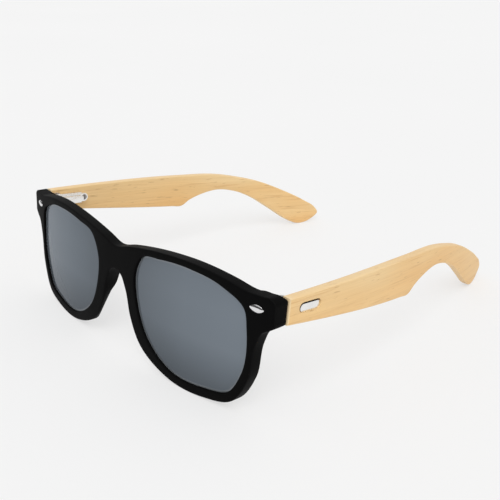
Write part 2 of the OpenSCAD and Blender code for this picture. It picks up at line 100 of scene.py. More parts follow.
# %% [markdown]
# ## Smooth curves through points
# A maker draws such an outline with a flexible curve laid through a few marks.
# The same is done here: each span is a cubic that leaves its ends in the mean direction of their neighbours.
# A curve object could do it too, but plain points can be shifted sideways, which the rounded edges need.


# %% Curve helpers
def span(a, b, c, d, steps):
    """Points from b to c on a cubic whose directions at the ends also depend on a and d."""
    first, length, last = (np.linalg.norm(q - p) for p, q in ((a, b), (b, c), (c, d)))
    leave = ((b - a) * length / first + (c - b) * first / length) / (first + length) * length
    arrive = ((c - b) * last / length + (d - c) * length / last) / (length + last) * length
    t = (np.arange(steps) / steps)[:, None]
    return (
        b * (2 * t**3 - 3 * t**2 + 1) + leave * (t**3 - 2 * t**2 + t)
        + c * (3 * t**2 - 2 * t**3) + arrive * (t**3 - t**2)
    )


def closed_curve(points, steps):
    """A smooth loop through all the points."""
    p = np.array(points, float)
    n = len(p)
    return np.vstack([span(p[i - 1], p[i], p[(i + 1) % n], p[(i + 2) % n], steps) for i in range(n)])


def open_curve(points, steps):
    """A smooth curve through all the points, straight at both ends."""
    p = np.array(points, float)
    p = np.vstack([2 * p[0] - p[1], p, 2 * p[-1] - p[-2]])
    spans = [span(p[i - 1], p[i], p[i + 1], p[i + 2], steps) for i in range(1, len(p) - 2)]
    return np.vstack(spans + [p[-2:-1]])


def way_out(loop):
    """Unit directions out of a clockwise loop, one for each of its points."""
    along = np.roll(loop, -1, 0) - np.roll(loop, 1, 0)
    out = np.stack([-along[:, 1], along[:, 0]], 1)
    return out / np.linalg.norm(out, axis=1)[:, None]


def smoothstep(low, high, x):
    """0 below low, 1 above high, and a soft step between them."""
    t = np.clip((x - low) / (high - low), 0, 1)
    return t * t * (3 - 2 * t)


# %% [markdown]
# ## Outline of the front
# The lens opening is given as shares of its own width and height, clockwise from the nose.
# The outer outline then goes along the brow, round the endpiece, under the rim and up into the nose notch.
# One half is drawn and mirrored, because the front is the same on both sides.

# %% Lens opening and outline
LENS_SHAPE = [
    (-1, 0.5), (-0.845, 0.855), (-0.46, 0.96), (0.09, 1), (0.62, 0.9), (0.955, 0.66), (1, 0.35),
    (0.945, -0.46), (0.74, -0.88), (0.37, -1), (-0.3, -0.985), (-0.77, -0.57), (-0.965, -0.03),
]
lens_u = (BRIDGE_W + LENS_W) / 2
lens_v = RIM_BOTTOM + LENS_H / 2
lens_points = np.array([(lens_u + a * LENS_W / 2, lens_v + b * LENS_H / 2) for a, b in LENS_SHAPE])
lens_out = way_out(lens_points)
brow = RIM_BOTTOM + LENS_H + RIM_TOP
endpiece_v = brow - ENDPIECE_DROP
endpiece_top = endpiece_v + ENDPIECE_H / 2
endpiece_low = endpiece_v - ENDPIECE_H / 2
temporal_u = lens_u + LENS_W / 2
end_u = temporal_u + ENDPIECE_W
root_u = temporal_u + RIM_SIDE
nose_u = BRIDGE_W / 2 - RIM_NOSE
nose_top, nose_low = NOTCH_H * 0.826, NOTCH_H * 0.516
nose_edge_top, nose_edge_low = nose_u - RIM_NOSE * 0.04, nose_u + RIM_NOSE * 0.5
brow_fall = brow - endpiece_top


def beside_lens(i, width):
    """The outline's point at a rim width from the opening's point i."""
    return tuple(lens_points[i] + width * lens_out[i])


half_outline = [
    (0, brow - BRIDGE_DROP),
    (BRIDGE_W * 0.36, brow - BRIDGE_DROP * 0.63),
    (lens_u - LENS_W * 0.4, brow - BRIDGE_DROP * 0.33),
    (lens_u - LENS_W * 0.19, brow - BRIDGE_DROP * 0.08),
    (lens_u + LENS_W * 0.11, brow),
    (lens_u + LENS_W * 0.36, brow - brow_fall * 0.45),
    (temporal_u, endpiece_top + brow_fall * 0.1),
    (end_u - CORNER_R * 3.6, endpiece_top + brow_fall * 0.07),
    (end_u - CORNER_R, endpiece_top),
    (end_u, endpiece_top - CORNER_R),
    (end_u, endpiece_top - CORNER_R * 2),
    (end_u, endpiece_low + CORNER_R * 2),
    (end_u, endpiece_low + CORNER_R),
    (end_u - CORNER_R, endpiece_low),
    (root_u + ROOT_H * 0.43, endpiece_low - ROOT_H * 0.32),
    (root_u + ROOT_H * 0.13, endpiece_low - ROOT_H),
    beside_lens(7, RIM_SIDE),
    beside_lens(8, (RIM_SIDE + RIM_BOTTOM) / 2),
    beside_lens(9, RIM_BOTTOM),
    beside_lens(10, RIM_BOTTOM),
    beside_lens(11, RIM_NOSE),
    (nose_edge_low, nose_low),
    (nose_edge_top, nose_top),
    (nose_u / 2, NOTCH_H * 0.968),
    (0, NOTCH_H),
]
mirrored_half = [(-u, v) for u, v in half_outline[-2:0:-1]]
OUTLINE_STEPS, OPENING_STEPS = 8, 14
outline = closed_curve(half_outline + mirrored_half, OUTLINE_STEPS)
opening_left = closed_curve(lens_points, OPENING_STEPS)
opening_right = (opening_left * (-1, 1))[::-1]
print("front", round(2 * end_u, 1), "mm wide, outline of", len(outline), "points")

# %% [markdown]
# ## Places of the front and of the hinges
# The front leans and stands on its rims, and its depth is measured from the wrapped face.
# Its place along Y and Z comes from the CAD node's box, and the hinges' places come from the joints.
# So the dressed pieces follow the frame, whatever its origin is.

# %% Places
cos_lean, sin_lean = math.cos(FRONT_LEAN), math.sin(FRONT_LEAN)


def wrap_y(u, depth):
    """How far back a point of the wrapped plate lies, at a depth below its face."""
    return WRAP_R - np.sqrt((WRAP_R - depth) ** 2 - u**2)


def leaned(u, y, v):
    """The leaning plate before it is put in its place."""
    return np.stack([u, y * cos_lean + v * sin_lean, v * cos_lean - y * sin_lean], -1)


face_line = leaned(outline[:, 0], wrap_y(outline[:, 0], 0), outline[:, 1])
front_low, front_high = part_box("front_frame")
front_shift = np.array([
    0, front_low.y / MM - face_line[:, 1].min(), front_high.z / MM - face_line[:, 2].max()])


def front_point(u, depth, v):
    """Points of the front in the frame, never below the surface that it stands on."""
    placed = leaned(u, wrap_y(u, depth), v) + front_shift
    placed[..., 2] = np.maximum(placed[..., 2], 0)
    return placed


LEFT, RIGHT = 1, -1
SIDES = {"left": LEFT, "right": RIGHT}
pivot = np.array(joints["fold_left"]["pos_m"]) / MM
temple_slope = math.asin(joints["fold_left"]["axis"][1])
cos_slope, sin_slope = math.cos(temple_slope), math.sin(temple_slope)


def hinge_point(side, x, y, z):
    """Points given from the pivot, x outwards, y along the temple and z along the pivot's axis."""
    return np.stack(np.broadcast_arrays(
        side * (pivot[0] + x),
        pivot[1] + y * cos_slope + z * sin_slope,
        pivot[2] - y * sin_slope + z * cos_slope,
    ), -1)


print("front shift", front_shift.round(2), "pivot", pivot.round(2))
print("slope of the temples", round(math.degrees(temple_slope), 2), "degrees")

# %% [markdown]
# ## Boards with rounded edges
# The front, the lenses and the temples are all boards: an outline, some holes and two faces.
# A bevel on a cut solid leaves pinched corners, so the edges are made here as rings round each outline.
# Each ring has a distance in from the outline and a depth.
# The two faces are filled by triangles over an even grid, so that they can be bent smoothly afterwards.

# %% Board helpers
GRID_ROOM, SAME_PLACE = 0.45, 1e-7
EDGE_STEPS = 5


def inside(points, loop):
    """Which points lie inside a loop, by counting its edges to the right of each point."""
    a, b = loop, np.roll(loop, -1, 0)
    px, py = points[:, None, 0], points[:, None, 1]
    crosses = (a[:, 1] > py) != (b[:, 1] > py)
    rise = np.where(a[:, 1] == b[:, 1], 1, b[:, 1] - a[:, 1])
    at = a[:, 0] + (py - a[:, 1]) * (b[:, 0] - a[:, 0]) / rise
    return (crosses & (px < at)).sum(1) % 2 == 1


def filled(loops, grid):
    """Triangles between an outer loop and its holes, with grid points in the open area."""
    low, high = loops[0].min(0), loops[0].max(0)
    across = np.arange(low[0] + grid / 2, high[0], grid)
    up = np.arange(low[1] + grid / 2, high[1], grid)
    spots = np.stack(np.meshgrid(across, up), -1).reshape(-1, 2)
    border = np.vstack(loops)
    keep = inside(spots, loops[0])
    for hole in loops[1:]:
        keep &= ~inside(spots, hole)
    spots = spots[keep]
    clear = np.array([np.abs(border - s).max(1).min() > grid * GRID_ROOM for s in spots], bool)
    points = np.vstack([border, spots[clear]]) if len(spots) else border
    edges, start = [], 0
    for loop in loops:
        n = len(loop)
        edges += [(start + i, start + (i + 1) % n) for i in range(n)]
        start += n
    made = delaunay_2d_cdt([Vector(p) for p in points], edges, [], 0, SAME_PLACE)
    corners = np.array([v[:] for v in made[0]])
    triangles = np.array([list(f) for f in made[2]])
    middles = corners[triangles].mean(1)
    keep = inside(middles, loops[0])
    for hole in loops[1:]:
        keep &= ~inside(middles, hole)
    return corners, triangles[keep]


def edge_rings(front_r, back_r, steps=EDGE_STEPS):
    """Rings over a wall with two round edges: (distance in, depth from the front, depth from the back)."""
    turn = np.linspace(0, math.pi / 2, steps)
    front = [(front_r * (1 - math.sin(a)), front_r * (1 - math.cos(a)), None) for a in turn]
    back = [(back_r * (1 - math.cos(a)), None, back_r * (1 - math.sin(a))) for a in turn]
    return front + back


def board(name, walls, place, grid, thickness):
    """A closed board from walls of (loop, sign, rings), the outer one first.
    The sign is -1 where a wall's loop moves inwards, place turns (u, v, depth) into frame millimetres,
    and thickness(u, v) is the board's depth there."""
    corners, faces = [], []
    rims = {"front": [], "back": []}
    count = 0
    for loop, sign, rings in walls:
        out, n = way_out(loop), len(loop)
        for k, (inset, from_front, from_back) in enumerate(rings):
            inset = np.broadcast_to(inset, n)[:, None]
            flat = loop + sign * inset * out
            full = thickness(flat[:, 0], flat[:, 1])
            depth = np.broadcast_to(from_front, n) if from_back is None else full - from_back
            corners.append(np.column_stack([flat, depth]))
            if k:
                a, b = count - n, count
                faces += [(a + i, a + (i + 1) % n, b + (i + 1) % n, b + i) for i in range(n)]
            if k == 0:
                rims["front"].append((flat, count))
            if k == len(rings) - 1:
                rims["back"].append((flat, count))
            count += n
    for side, loops in rims.items():
        points, triangles = filled([flat for flat, _ in loops], grid)
        known = np.concatenate([start + np.arange(len(flat)) for flat, start in loops])
        extra = points[len(known):]
        full = thickness(extra[:, 0], extra[:, 1]) if len(extra) else np.zeros(0)
        corners.append(np.column_stack([extra, full * (side == "back")]))
        number = np.concatenate([known, count + np.arange(len(extra))])
        faces += [tuple(int(i) for i in number[t]) for t in triangles]
        count += len(extra)
    flat = np.vstack(corners)
    placed = place(flat[:, 0], flat[:, 1], flat[:, 2])
    return piece_from(name, placed, faces), flat


def in_scene(name, data):
    """A new object of the scene."""
    made = bpy.data.objects.new(name, data)
    bpy.context.scene.collection.objects.link(made)
    return made


def piece_from(name, points, faces, sharp_deg=50):
    """A smooth-shaded mesh object from millimetre points, with its faces turned outwards."""
    mesh = bpy.data.meshes.new(name)
    mesh.from_pydata((np.array(points) * MM).tolist(), [], faces)
    shaped = bmesh.new()
    shaped.from_mesh(mesh)
    bmesh.ops.recalc_face_normals(shaped, faces=shaped.faces)
    shaped.to_mesh(mesh)
    shaped.free()
    mesh.shade_smooth()
    mesh.set_sharp_from_angle(angle=math.radians(sharp_deg))
    return in_scene(name, mesh)


def carry(piece, name, values):
    """Keeps a number or a vector for each point of a piece's mesh, for its finish to read."""
    kind, field = ("FLOAT", "value") if values.ndim == 1 else ("FLOAT_VECTOR", "vector")
    piece.data.attributes.new(name, kind, "POINT").data.foreach_set(field, values.ravel())


# %% [markdown]
# ## Building blocks of the finishes
# Each finish is one Principled shader.
# Its colour, roughness and bump come from noise at the scale of the real stuff.
# Nodes read Object coordinates, or an attribute that the piece carries, so the finish moves with the piece.
# Values that are the same all over a surface are set straight on the shader.


# %% Finish helpers
class Finish:
    """A material under construction, with short ways to add and join nodes."""

    def __init__(self, name, **values):
        self.material = bpy.data.materials.new(name)
        self.material.use_nodes = True
        self.tree = self.material.node_tree
        self.shader = self.tree.nodes["Principled BSDF"]
        for socket, value in values.items():
            self.shader.inputs[socket.replace("_", " ")].default_value = value

    def node(self, kind, links=None, **settings):
        """A new node; links and settings name its inputs, or its own properties."""
        node = self.tree.nodes.new(kind)
        for key, value in settings.items():
            if hasattr(node, key):
                setattr(node, key, value)
            else:
                node.inputs[key.replace("_", " ")].default_value = value
        for key, source in (links or {}).items():
            self.tree.links.new(source, node.inputs[key])
        return node

    def attribute(self, name, output="Fac"):
        """What the points of the piece's mesh carry under a name."""
        return self.node("ShaderNodeAttribute", attribute_name=name).outputs[output]

    def spots(self, scale=(1, 1, 1), attribute=None, **settings):
        """Noise over Object coordinates or an attribute of the piece, stretched by scale."""
        if attribute:
            place = self.attribute(attribute, "Vector")
        else:
            place = self.node("ShaderNodeTexCoord").outputs["Object"]
        stretch = self.node("ShaderNodeMapping", {"Vector": place}, Scale=scale)
        noise = self.node("ShaderNodeTexNoise", {"Vector": stretch.outputs["Vector"]}, **settings)
        return noise.outputs["Fac"]

    def ramp(self, source, stops):
        """Colours or greys along a value from 0 to 1."""
        node = self.node("ShaderNodeValToRGB", {"Fac": source})
        band = node.color_ramp.elements
        while len(band) < len(stops):
            band.new(0.5)
        for element, (at, colour) in zip(band, stops):
            element.position = at
            element.color = (*colour, 1) if isinstance(colour, tuple) else (colour, colour, colour, 1)
        return node.outputs["Color"]

    def mixed(self, share, first, second, blend="MIX"):
        """Two colours mixed by a share from 0 to 1."""
        node = self.node("ShaderNodeMix", data_type="RGBA", blend_type=blend)
        for index, source in ((0, share), (6, first), (7, second)):
            if isinstance(source, bpy.types.NodeSocket):
                self.tree.links.new(source, node.inputs[index])
            else:
                node.inputs[index].default_value = source
        return node.outputs[2]

    def to_shader(self, **sources):
        """Joins outputs to the shader's sockets."""
        for socket, source in sources.items():
            self.tree.links.new(source, self.shader.inputs[socket.replace("_", " ")])

    def bump(self, height, distance, strength):
        """Small relief of a given height in metres."""
        node = self.node("ShaderNodeBump", {"Height": height}, Distance=distance, Strength=strength)
        return node.outputs["Normal"]


# %% [markdown]
# ## Finish of the front: soft matte black
# The real front is moulded plastic with a soft-touch coat, nearly black, with hardly any highlight.
# A fine noise gives the coat's grain and a wide one its slight clouding.
# The rounded edges are a little smoother, and a painted sheen makes them paler.
# An attribute from the rings of the board keeps the painted sheen on the rounded edges.

# %% Soft black
soft_black = Finish("soft_black", Roughness=0.55, Specular_IOR_Level=0.03)
grain = soft_black.spots(Scale=4200, Detail=2)
clouds = soft_black.spots(Scale=55, Detail=3)
edge = soft_black.attribute("edge")
black = soft_black.ramp(clouds, [(0.3, (0.0024, 0.0024, 0.0025)), (0.7, (0.0034, 0.0034, 0.0035))])
# Painted sheen: the rounded edges are paler, as if they caught the light.
black_with_sheen = soft_black.mixed(edge, black, (0.0052, 0.0052, 0.0054, 1))
rough = soft_black.ramp(clouds, [(0.25, 0.5), (0.75, 0.62)])
soft_black.to_shader(
    Base_Color=black_with_sheen,
    Roughness=soft_black.mixed(edge, rough, (0.44, 0.44, 0.44, 1)),
    Normal=soft_black.bump(grain, 0.00002, 0.35),
)
print("finish:", soft_black.material.name)

# %% [markdown]
# ## The front
# A moulded front is one piece: two rims, the bridge, two nose pads and two thick endpieces for the hinges.
# It could be a bevelled copy of the solid. Here its depth is a rule over the plate instead, which gives soft
# changes of thickness, as in a mould.
# The depth grows behind the endpieces up to the hinges' seats, and swells into the nose pads.
# Below the pads the rim's nose side is bevelled, so that it opens towards the face.

# %% Depth of the front
SEAT_Y, SEAT_ROOM = 1.9, 0.06
ENDPIECE_IN, ENDPIECE_RAMP = 1.1, 1.3
LOW_FADE, TOP_FADE, TOP_THINNED = (-0.6, 0.7), (-1.1, 0.2), 0.75
PAD_H, PAD_R, PAD_Z, PAD_WIDE, PAD_LEVEL = 2.4, 6.5, 25, 3.8, 0.4
PAD_SPLAY, PAD_FOOT, PAD_REACH = math.tan(math.radians(22)), 0.25, 4
nose_lean = (nose_edge_low - nose_edge_top) / (nose_top - nose_low)


def seat_depth(u, v):
    """Depth at which the plate meets the flat seat of the hinge's leaf."""
    lift = front_shift[2] - pivot[2]
    back = pivot[1] - front_shift[1]
    reach = (back - v * sin_lean) * cos_slope + (v * cos_lean + lift) * sin_slope - SEAT_Y - SEAT_ROOM
    y = reach / math.cos(FRONT_LEAN - temple_slope)
    return WRAP_R - np.sqrt((WRAP_R - y) ** 2 + u**2)


def pad_height(u, v):
    """How far the nose pads swell behind the plate."""
    from_edge = (np.abs(u) - nose_edge_top - (nose_top - v) * nose_lean) * math.cos(math.atan(nose_lean))
    round_back = np.sqrt(np.maximum(PAD_R**2 - (v - PAD_Z) ** 2, 0)) - PAD_R + PAD_H
    soft_foot = (round_back + np.sqrt(round_back**2 + PAD_FOOT**2)) / 2
    across = 1 - smoothstep(PAD_WIDE * PAD_LEVEL, PAD_WIDE, from_edge)
    return soft_foot * across * (np.abs(v - PAD_Z) < PAD_R)


def front_depth(u, v):
    """Thickness of the front: the plate, the endpieces' thick parts and the nose pads."""
    u = np.abs(u)
    thick = smoothstep(temporal_u + ENDPIECE_IN, temporal_u + ENDPIECE_IN + ENDPIECE_RAMP, u)
    thick = thick * smoothstep(endpiece_low + LOW_FADE[0], endpiece_low + LOW_FADE[1], v)
    at_top = smoothstep(endpiece_top + TOP_FADE[0], endpiece_top + TOP_FADE[1], v)
    thick = thick * (1 - TOP_THINNED * at_top)
    return FRONT_T + thick * (seat_depth(u, v) - FRONT_T) + pad_height(u, v)


def front_place(u, v, depth):
    """The front in the frame, with the nose pads splayed away from the nose."""
    splay = np.clip(depth - FRONT_T, 0, None) * PAD_SPLAY * (np.abs(u) < BRIDGE_W / 2 + PAD_REACH)
    return front_point(u + np.sign(u) * splay, depth, v)


# %% The front's mesh
FACE_R, BACK_R = 0.35, 0.35
BEVEL_SKIN, BEVEL_SPLAY, BEVEL_FLARE, BEVEL_FADE = 0.7, math.radians(38), math.radians(28), 1.0
BEVEL_TOP = (18, 22)
OPENING_R, OPENING_BACK_R, OPENING_EDGE_STEPS = 0.3, 0.3, 4
FRONT_GRID = 1.1
# Shares of painted sheen on the rings of the front's rounded edge.
EDGE_SHEEN = (0, 0.5, 1, 0.6, 0.1)
out_u, out_v = np.abs(outline[:, 0]), outline[:, 1]
bevel_lean = math.atan(math.tan(BEVEL_FLARE) / math.cos(BEVEL_SPLAY))
bevel_slope = math.tan(BEVEL_SPLAY) * math.cos(bevel_lean)
off_bevel = (out_u - nose_edge_low) * math.cos(bevel_lean) + (out_v - nose_low) * math.sin(bevel_lean)
bevelled = (1 - smoothstep(*BEVEL_TOP, out_v)) * (out_u < lens_u)
full_depth = front_depth(out_u, out_v)
outer_rings = edge_rings(FACE_R, BACK_R)
wall_rings = [(0, BEVEL_SKIN, None)]
for inset, _, from_back in outer_rings[EDGE_STEPS:]:
    past = np.maximum(full_depth - from_back - BEVEL_SKIN, 0) * bevel_slope - off_bevel
    slant = (past + np.sqrt(past**2 + BEVEL_FADE**2) - BEVEL_FADE) / 2
    wall_rings.append((inset + np.maximum(slant, 0) * bevelled, None, from_back))
outer_rings = outer_rings[:EDGE_STEPS] + wall_rings
groove_front = LENS_RECESS - LENS_GAP
groove_back = LENS_RECESS + LENS_T + LENS_GAP
opening_rings = edge_rings(OPENING_R, OPENING_BACK_R, OPENING_EDGE_STEPS)
groove = [(inset, depth, None) for inset, depth in (
    (0, groove_front), (GROOVE_D, groove_front), (GROOVE_D, groove_back), (0, groove_back))]
opening_rings = opening_rings[:OPENING_EDGE_STEPS] + groove + opening_rings[OPENING_EDGE_STEPS:]
front, flat = board(
    "front_shell",
    [(outline, -1, outer_rings), (opening_left, 1, opening_rings), (opening_right, 1, opening_rings)],
    front_place, FRONT_GRID, front_depth,
)
# The painted sheen goes on the rings of the outline's front edge.
edge_share = np.zeros(len(flat))
for k, share in enumerate(EDGE_SHEEN):
    edge_share[k * len(outline):(k + 1) * len(outline)] = share
carry(front, "edge", edge_share)
front.data.materials.append(soft_black.material)
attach(front, "front")
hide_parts("front_frame")
print(front.name, len(front.data.polygons), "faces")

# %% [markdown]
# ## Finish of the lenses: smoke grey with a pale mirror
# A mirrored lens reflects the bright studio over a dark tint, so it looks mid grey from outside.
# Glass with a tint could show the floor through it, but the coat hides that on the real ones.
# The shader is a partly metallic grey with a thin clear coat.
# Its tint drifts slowly with the coat's thickness, and a painted reflection makes it darker towards the
# lower edge and the nose.
# The attribute lens_at gives the place on the lens.
# A painted highlight runs as a pale line along its edge, where its bevelled edge catches the light.
# An attribute marks that line.

# %% Mirror grey
mirror_grey = Finish(
    "mirror_grey", Metallic=0.4, Roughness=0.16, Specular_IOR_Level=0.2, Specular_Tint=(0.3, 0.33, 0.37, 1),
    Coat_Weight=0.15, Coat_Roughness=0.05, Coat_IOR=1.5,
)
drift = mirror_grey.spots((1, 1, 0.45), Scale=24, Detail=1, Roughness=0.4)
tint = mirror_grey.ramp(drift, [(0.3, (0.182, 0.213, 0.247)), (0.7, (0.202, 0.233, 0.269))])
lens_at = mirror_grey.attribute("lens_at", "Vector")
on_lens = mirror_grey.node("ShaderNodeSeparateXYZ", {"Vector": lens_at}).outputs
# Painted reflection: darker low down, where the lens would mirror the shaded floor under the frame.
painted_low_reflection = mirror_grey.ramp(on_lens["Z"], [(0.05, 0.58), (0.42, 0.97), (0.75, 1.0), (1.0, 0.93)])
# Painted reflection: darker towards the nose, lighter towards the temple.
painted_side_reflection = mirror_grey.ramp(on_lens["X"], [(0.0, 0.66), (0.22, 0.79), (0.5, 0.93), (1.0, 1.0)])
tint_with_low_reflection = mirror_grey.mixed(1.0, tint, painted_low_reflection, "MULTIPLY")
tint_with_reflections = mirror_grey.mixed(1.0, tint_with_low_reflection, painted_side_reflection, "MULTIPLY")
smears = mirror_grey.spots(Scale=140, Detail=4)
# The pale grey along the edge is a painted highlight.
mirror_grey.to_shader(
    Base_Color=mirror_grey.mixed(mirror_grey.attribute("painted_rim_highlight"), tint_with_reflections, (0.4, 0.42, 0.43, 1)),
    Roughness=mirror_grey.ramp(smears, [(0.35, 0.12), (0.7, 0.2)]),
)
print("finish:", mirror_grey.material.name)

# %% [markdown]
# ## The lenses
# Each lens is a thin slab on the wrap's curve whose edge is held in the rim's groove.
# It is a board like the front, a little larger than its opening, with a small bevel along its ground edge.
# It is also dished a little forwards, as lenses are, so that its reflections change from side to side.

# %% Lenses
LENS_EDGE_R, LENS_EDGE_STEPS, LENS_GRID = 0.15, 3, 1.6
# Rings near the lens edge, with their shares of the painted highlight.
HIGHLIGHT_BAND = [(1.75, 0), (1.4, 0.1), (1.1, 0.36), (0.75, 0.42)]
DISH_R, DISH_EDGE = 400, 27


def same_depth(depth):
    """The thickness rule of a board that is equally thick all over."""
    return lambda u, v: np.full(np.shape(u), depth)


def lens_place(u, v, depth):
    """A lens behind the front's face, dished forwards in its middle."""
    off_centre = (np.abs(u) - lens_u) ** 2 + (v - lens_v) ** 2
    dish = (DISH_EDGE**2 - off_centre) / (2 * DISH_R)
    return front_point(u, depth + LENS_RECESS - np.maximum(dish, 0), v)


for name, opening in (("left", opening_left), ("right", opening_right)):
    edge_loop = opening + (GROOVE_D - LENS_GAP) * way_out(opening)
    rings = [(inset, 0, None) for inset, _ in HIGHLIGHT_BAND]
    rings += edge_rings(LENS_EDGE_R, LENS_EDGE_R, LENS_EDGE_STEPS)
    walls = [(edge_loop, -1, rings)]
    lens, flat = board("lens_slab_" + name, walls, lens_place, LENS_GRID, same_depth(LENS_T))
    # Painted highlight: shares of the pale line on the rings near the lens edge.
    highlight_share = np.zeros(len(flat))
    highlight_share[:len(HIGHLIGHT_BAND) * len(edge_loop)] = np.repeat([share for _, share in HIGHLIGHT_BAND], len(edge_loop))
    carry(lens, "painted_rim_highlight", highlight_share)
    at = np.stack([np.abs(flat[:, 0]) - BRIDGE_W / 2, flat[:, 2], flat[:, 1] - RIM_BOTTOM], 1)
    carry(lens, "lens_at", at / (LENS_W, LENS_T, LENS_H))
    lens.data.materials.append(mirror_grey.material)
    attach(lens, "front")
    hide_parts("lens_" + name)
    print(lens.name, len(lens.data.polygons), "faces")

# %% [markdown]
# ## Finish of the rivets: polished metal
# Polished rivets mirror the room, so they need little colour of their own.
# Fine scratches from wiping and a slow change of roughness keep them from looking like plain mirrors.

# %% Polished metal
polished = Finish("polished_metal", Metallic=1.0, Roughness=0.12)
wiping = polished.spots((1, 1, 6), Scale=900, Detail=3)
haze = polished.spots(Scale=300, Detail=2)
tone = polished.ramp(haze, [(0.3, (0.74, 0.74, 0.75)), (0.7, (0.82, 0.82, 0.83))])
polished.to_shader(
    Base_Color=tone,
    Roughness=polished.ramp(wiping, [(0.3, 0.07), (0.75, 0.2)]),
    Normal=polished.bump(wiping, 0.000004, 0.3),
)
print("finish:", polished.material.name)

# %% [markdown]
# ## The rivets
# On each endpiece sits an almond-shaped rivet head, the sign of a classic frame.
# The two heads are the same, so one almond is modelled and a Geometry Nodes tree puts it on both places.
# Each place is a point that carries the turn of the wrapped face there.

# %% Almond head
RIVET_L, RIVET_H, RIVET_PROUD, RIVET_SINK, RIVET_EDGE = 5.3, 2.5, 0.45, 0.5, 0.05
RIVET_OUT, RIVET_UP = 3.4, 0.7
BOW_STEPS = 14
DOME_SHARES = (1, 0.96, 0.9, 0.8, 0.68, 0.54, 0.38, 0.2)
bow_r = (RIVET_L**2 + RIVET_H**2) / (4 * RIVET_H)
half_turn = math.asin(RIVET_L / 2 / bow_r)
turns = np.linspace(-half_turn, half_turn, BOW_STEPS)
upper = np.stack([bow_r * np.sin(turns), bow_r * np.cos(turns) - bow_r + RIVET_H / 2], 1)
almond = np.vstack([upper[:-1], -upper[:-1]])
dome_rise = RIVET_PROUD - RIVET_EDGE
dome_r = (RIVET_H**2 / 4 + dome_rise**2) / (2 * dome_rise)
dome_rings = [(1, RIVET_SINK)]
dome_rings += [
    (s, dome_r - math.sqrt(dome_r**2 - (s * RIVET_H / 2) ** 2) - RIVET_PROUD) for s in DOME_SHARES
]
ring_size = len(almond)
head_points = [(s * x, y, s * z) for s, y in dome_rings for x, z in almond] + [(0, -RIVET_PROUD, 0)]
head_faces = [
    (k * ring_size + i, k * ring_size + (i + 1) % ring_size,
     (k + 1) * ring_size + (i + 1) % ring_size, (k + 1) * ring_size + i)
    for k in range(len(dome_rings) - 1) for i in range(ring_size)
]
last_ring, top = (len(dome_rings) - 1) * ring_size, len(head_points) - 1
head_faces += [(last_ring + i, last_ring + (i + 1) % ring_size, top) for i in range(ring_size)]
head_faces.append(tuple(range(ring_size))[::-1])
head = piece_from("rivet_head", head_points, head_faces, sharp_deg=60)
print("one rivet head:", len(head_points), "points")


# %% Rivets on their places
def tree_with(name, *inputs):
    """A Geometry Nodes tree with a geometry input, named inputs and a geometry output."""
    tree = bpy.data.node_groups.new(name, "GeometryNodeTree")
    tree.interface.new_socket("Geometry", in_out="INPUT", socket_type="NodeSocketGeometry")
    for label, kind in inputs:
        tree.interface.new_socket(label, in_out="INPUT", socket_type=kind)
    tree.interface.new_socket("Geometry", in_out="OUTPUT", socket_type="NodeSocketGeometry")
    return tree, tree.nodes.new("NodeGroupInput"), tree.nodes.new("NodeGroupOutput")


def grown_mesh(carrier, tree, name, values):
    """The plain mesh that a tree makes on a carrier object, which is removed afterwards."""
    modifier = carrier.modifiers.new(tree.name, "NODES")
    modifier.node_group = tree
    for item in tree.interface.items_tree:
        if item.in_out == "INPUT" and item.name in values:
            modifier[item.identifier] = values[item.name]
    ready = carrier.evaluated_get(bpy.context.evaluated_depsgraph_get())
    mesh = bpy.data.meshes.new_from_object(ready)
    mesh.name = name
    carrier.modifiers.remove(modifier)
    bpy.data.objects.remove(carrier)
    return in_scene(name, mesh)


tree, given, result = tree_with(
    "rivets_on_places", ("Head", "NodeSocketObject"), ("Finish", "NodeSocketMaterial"))
head_info = tree.nodes.new("GeometryNodeObjectInfo")
turn_of_place = tree.nodes.new("GeometryNodeInputNamedAttribute")
turn_of_place.data_type = "FLOAT_VECTOR"
turn_of_place.inputs["Name"].default_value = "turn"
scatter = tree.nodes.new("GeometryNodeInstanceOnPoints")
realize = tree.nodes.new("GeometryNodeRealizeInstances")
dress = tree.nodes.new("GeometryNodeSetMaterial")
for source, target in (
    (given.outputs["Geometry"], scatter.inputs["Points"]),
    (given.outputs["Head"], head_info.inputs["Object"]),
    (head_info.outputs["Geometry"], scatter.inputs["Instance"]),
    (turn_of_place.outputs["Attribute"], scatter.inputs["Rotation"]),
    (scatter.outputs["Instances"], realize.inputs["Geometry"]),
    (realize.outputs["Geometry"], dress.inputs["Geometry"]),
    (given.outputs["Finish"], dress.inputs["Material"]),
    (dress.outputs["Geometry"], result.inputs["Geometry"]),
):
    tree.links.new(source, target)

rivet_u = temporal_u + RIVET_OUT
places = front_point(np.array([rivet_u, -rivet_u]), np.zeros(2), np.full(2, endpiece_v + RIVET_UP)) * MM
wrap_turn = math.asin(rivet_u / WRAP_R)
carrier = in_scene("rivet_places", bpy.data.meshes.new("rivet_places"))
carrier.data.from_pydata(places.tolist(), [], [])
turn_data = carrier.data.attributes.new("turn", "FLOAT_VECTOR", "POINT").data
for place, side in zip(turn_data, (LEFT, RIGHT)):
    place.vector = (-FRONT_LEAN, 0, side * wrap_turn)
rivets = grown_mesh(carrier, tree, "rivets", {"Head": head, "Finish": polished.material})
bpy.data.objects.remove(head)
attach(rivets, "front")
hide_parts("rivet_left", "rivet_right")
print(rivets.name, len(rivets.data.polygons), "faces")
